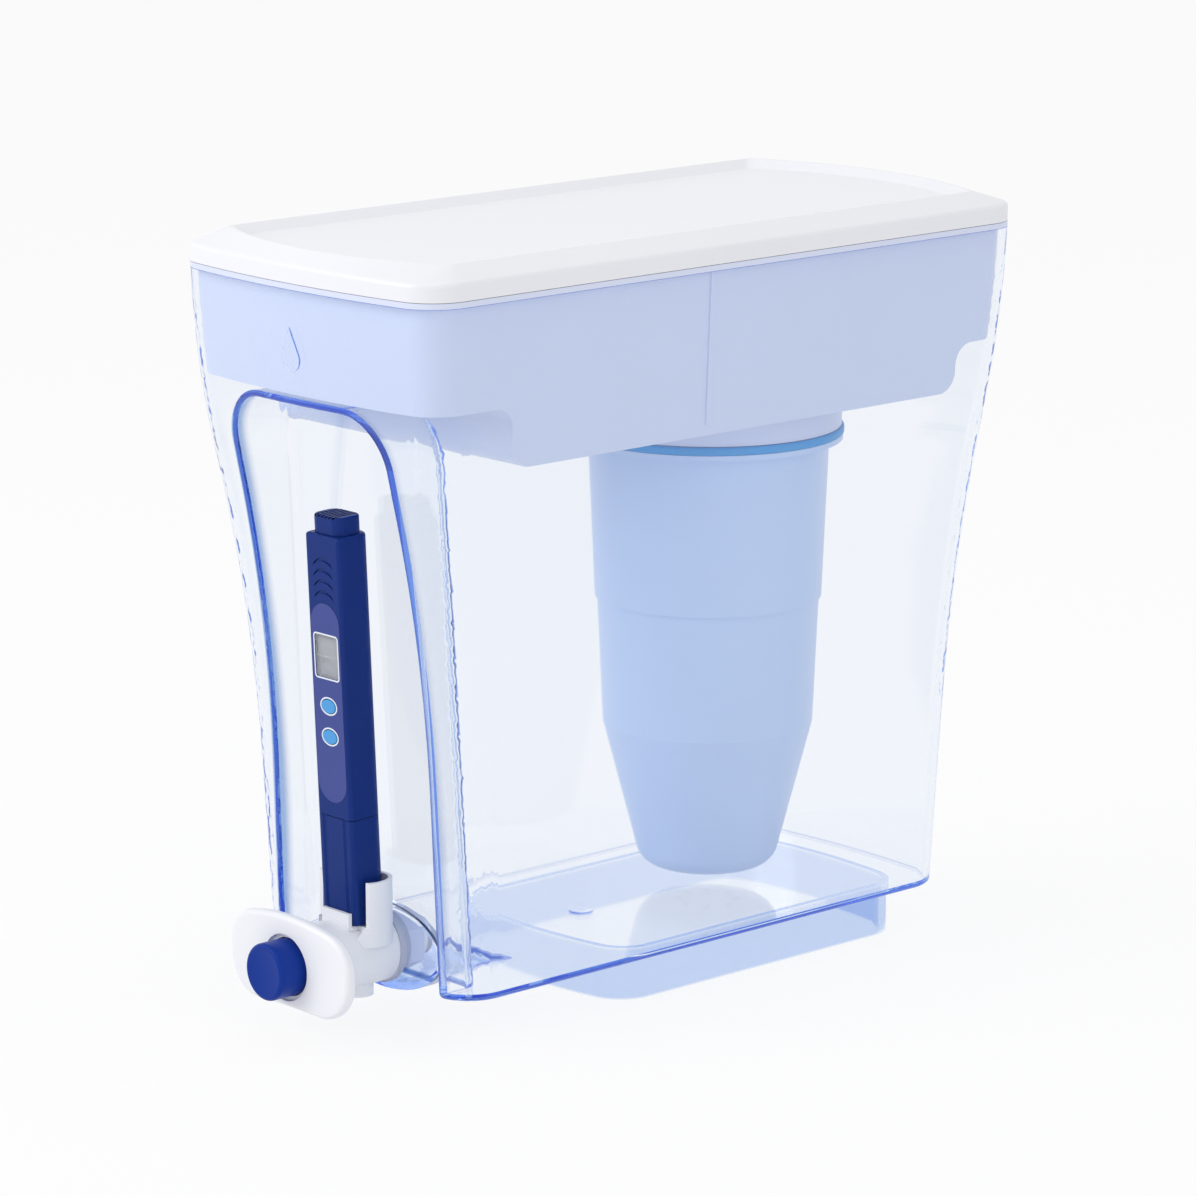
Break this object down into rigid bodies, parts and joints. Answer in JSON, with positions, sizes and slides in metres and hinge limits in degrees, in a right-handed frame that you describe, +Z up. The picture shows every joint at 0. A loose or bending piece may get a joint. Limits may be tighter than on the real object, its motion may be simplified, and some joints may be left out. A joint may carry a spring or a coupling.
{
  "type": "water dispenser",
  "caption": "Clear countertop water filter dispenser: flared tank with a lift-out basin, cartridge, lid, push tap and a pocket water meter standing in a front niche",
  "frame": {"origin": "on the floor under the middle of the tank, in the plane of the foot's flat underside", "axes": "+Z up; -Y the way the tap points; +X to the right as seen facing the tap; longest along Y"},
  "size_m": [0.14, 0.3139, 0.282],
  "materials": {
    "tank_clear": "clear, faintly blue, polished",
    "basin_white": "translucent white",
    "lid_white": "satin white",
    "filter_shell": "pale blue, satin",
    "filter_seal": "cyan blue rubber",
    "filter_mesh": "white moulded grille",
    "filter_fleece": "white fleece",
    "filter_grains": "black grains",
    "filter_beads": "amber beads",
    "tap_white": "satin white",
    "tap_blue": "navy, satin",
    "tap_rubber": "pale grey rubber",
    "tap_nut": "pale lavender nylon",
    "spring_steel": "stainless wire",
    "meter_navy": "navy, satin",
    "meter_face": "printed film, left blank",
    "meter_clear": "clear window",
    "meter_glass": "blank grey display",
    "meter_keys": "light blue, satin",
    "meter_board": "green laminate",
    "meter_steel": "bright steel",
    "meter_brass": "plated spring strip",
    "meter_plug": "black plug"
  },
  "bodies": {
    "tank": {"tank": "tank_clear", "spigot_body": "tap_white", "spigot_wing_plate": "tap_white", "spigot_outer_gasket": "tap_rubber", "spigot_inner_gasket": "tap_rubber", "spigot_nut": "tap_nut", "stem_seal": "tap_rubber", "spigot_spring": "spring_steel", "meter_holder": "tap_white"},
    "reservoir": {"upper_reservoir": "basin_white"},
    "lid": {"lid": "lid_white"},
    "filter": {"filter_upper_shell": "filter_shell", "filter_lower_shell": "filter_shell", "filter_gasket": "filter_seal", "filter_inlet_screen": "filter_mesh", "filter_foam": "filter_fleece", "filter_carbon": "filter_grains", "filter_resin": "filter_beads", "filter_outlet_pad": "filter_fleece"},
    "tap_button": {"tap_button": "tap_blue", "valve_stem": "tap_white", "valve_seal": "tap_rubber"},
    "meter_cap": {"meter_cap": "meter_navy"},
    "meter": {"meter_case": "meter_navy", "meter_label": "meter_face", "meter_window": "meter_clear", "meter_lcd": "meter_glass", "meter_circuit_board": "meter_board", "meter_batteries": "meter_steel", "battery_contacts": "meter_brass", "meter_probe_plug": "meter_plug", "meter_electrodes": "meter_steel"},
    "meter_battery_cap": {"meter_battery_cap": "meter_navy"},
    "meter_power_button": {"meter_power_button": "meter_keys"},
    "meter_hold_button": {"meter_hold_button": "meter_keys"}
  },
  "joints": [
    {"name": "reservoir_lift", "type": "slide", "parent": "tank", "child": "reservoir", "axis": [0, 0, 1], "range_m": [0, 0.26]},
    {"name": "lid_lift", "type": "slide", "parent": "reservoir", "child": "lid", "axis": [0, 0, 1], "range_m": [0, 0.06]},
    {"name": "filter_twist", "type": "hinge", "parent": "reservoir", "child": "filter", "pos_m": [0, 0.0492, 0.2], "axis": [0, 0, 1], "range_deg": [0, 45]},
    {"name": "tap_press", "type": "slide", "parent": "tank", "child": "tap_button", "axis": [0, 1, 0], "range_m": [0, 0.005], "stiffness_N_per_m": 400, "springref_m": -0.002, "deforming": ["spigot_spring"]},
    {"name": "meter_lift", "type": "slide", "parent": "tank", "child": "meter_cap", "axis": [0, -0.0454, 0.999], "range_m": [0, 0.02]},
    {"name": "meter_unsheathe", "type": "slide", "parent": "meter_cap", "child": "meter", "axis": [0, -0.0454, 0.999], "range_m": [0, 0.012]},
    {"name": "battery_cap_pull", "type": "slide", "parent": "meter", "child": "meter_battery_cap", "axis": [0, -0.0454, 0.999], "range_m": [0, 0.006]},
    {"name": "power_press", "type": "slide", "parent": "meter", "child": "meter_power_button", "axis": [0, 0.999, 0.0454], "range_m": [0, 0.0006], "stiffness_N_per_m": 800, "springref_m": -0.0004},
    {"name": "hold_press", "type": "slide", "parent": "meter", "child": "meter_hold_button", "axis": [0, 0.999, 0.0454], "range_m": [0, 0.0006], "stiffness_N_per_m": 800, "springref_m": -0.0004}
  ]
}
